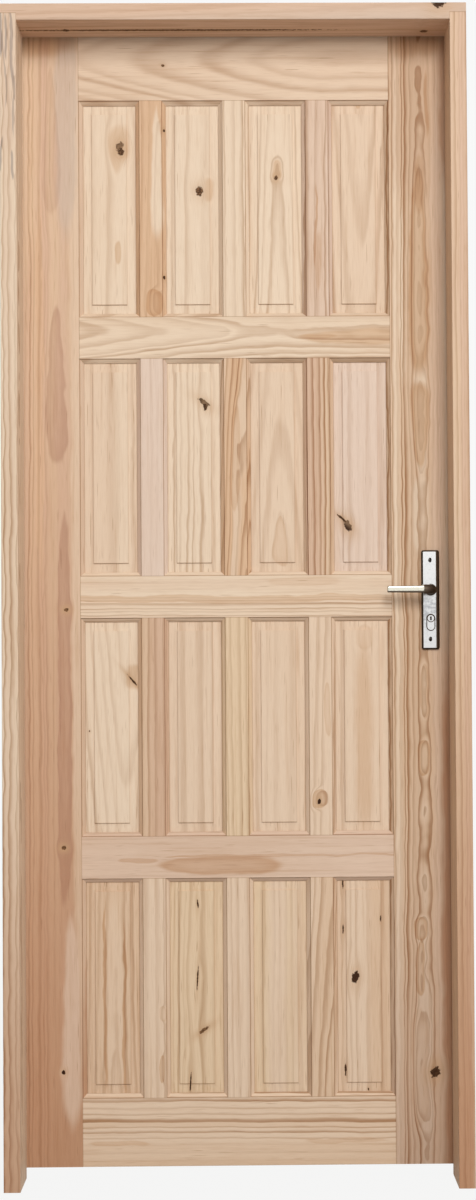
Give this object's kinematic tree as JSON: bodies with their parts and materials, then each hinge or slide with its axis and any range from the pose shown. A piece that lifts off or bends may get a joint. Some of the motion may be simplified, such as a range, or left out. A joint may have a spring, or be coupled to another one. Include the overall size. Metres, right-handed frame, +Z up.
{
  "type": "exterior door",
  "caption": "Hinged pine door with fielded panels in a rebated frame, with butt hinges and a sprung lever handle on a long backplate over a mortise lock.",
  "frame": {"origin": "on the outer face of the hinge jamb, at its foot and in the middle of its depth", "axes": "+X across the doorway from the hinge jamb to the latch jamb, +Y through the doorway towards the side that the leaf opens to, +Z up"},
  "size_m": [0.8455, 0.1938, 2.14],
  "materials": {
    "frame_pine": "bare planed pine",
    "leaf_pine": "bare planed pine",
    "panel_pine": "bare planed pine",
    "polished_chrome": "polished",
    "steel": "zinc plated"
  },
  "bodies": {
    "frame": {"hinge_jamb": "frame_pine", "latch_jamb": "frame_pine", "head": "frame_pine", "strike_plate": "steel", "hinge_plates_on_jamb": "steel", "hinge_pins": "steel"},
    "leaf": {"hinge_stile": "leaf_pine", "latch_stile": "leaf_pine", "top_rail": "leaf_pine", "upper_rail": "leaf_pine", "lock_rail": "leaf_pine", "lower_rail": "leaf_pine", "bottom_rail": "leaf_pine", "muntins_row_1": "leaf_pine", "muntins_row_2": "leaf_pine", "muntins_row_3": "leaf_pine", "muntins_row_4": "leaf_pine", "panel_row_1_column_1": "panel_pine", "panel_row_1_column_2": "panel_pine", "panel_row_1_column_3": "panel_pine", "panel_row_1_column_4": "panel_pine", "panel_row_2_column_1": "panel_pine", "panel_row_2_column_2": "panel_pine", "panel_row_2_column_3": "panel_pine", "panel_row_2_column_4": "panel_pine", "panel_row_3_column_1": "panel_pine", "panel_row_3_column_2": "panel_pine", "panel_row_3_column_3": "panel_pine", "panel_row_3_column_4": "panel_pine", "panel_row_4_column_1": "panel_pine", "panel_row_4_column_2": "panel_pine", "panel_row_4_column_3": "panel_pine", "panel_row_4_column_4": "panel_pine", "hinge_plates_on_door": "steel", "mortise_lock": "steel", "latch_bolt": "steel", "dead_bolt": "steel", "lock_cylinder": "polished_chrome", "front_backplate": "polished_chrome", "rear_backplate": "polished_chrome"},
    "levers": {"front_lever": "polished_chrome", "rear_lever": "polished_chrome", "lever_spindle": "steel"}
  },
  "joints": [
    {"name": "leaf_swing", "type": "hinge", "parent": "frame", "child": "leaf", "pos_m": [0.0195, 0.0768, 1], "axis": [0, 0, 1], "range_deg": [0, 170]},
    {"name": "lever_turn", "type": "hinge", "parent": "leaf", "child": "levers", "pos_m": [0.782, 0.0525, 1.078], "axis": [0, -1, 0], "range_deg": [0, 40], "stiffness_Nm_per_rad": 1.5, "springref_deg": -28.65}
  ]
}
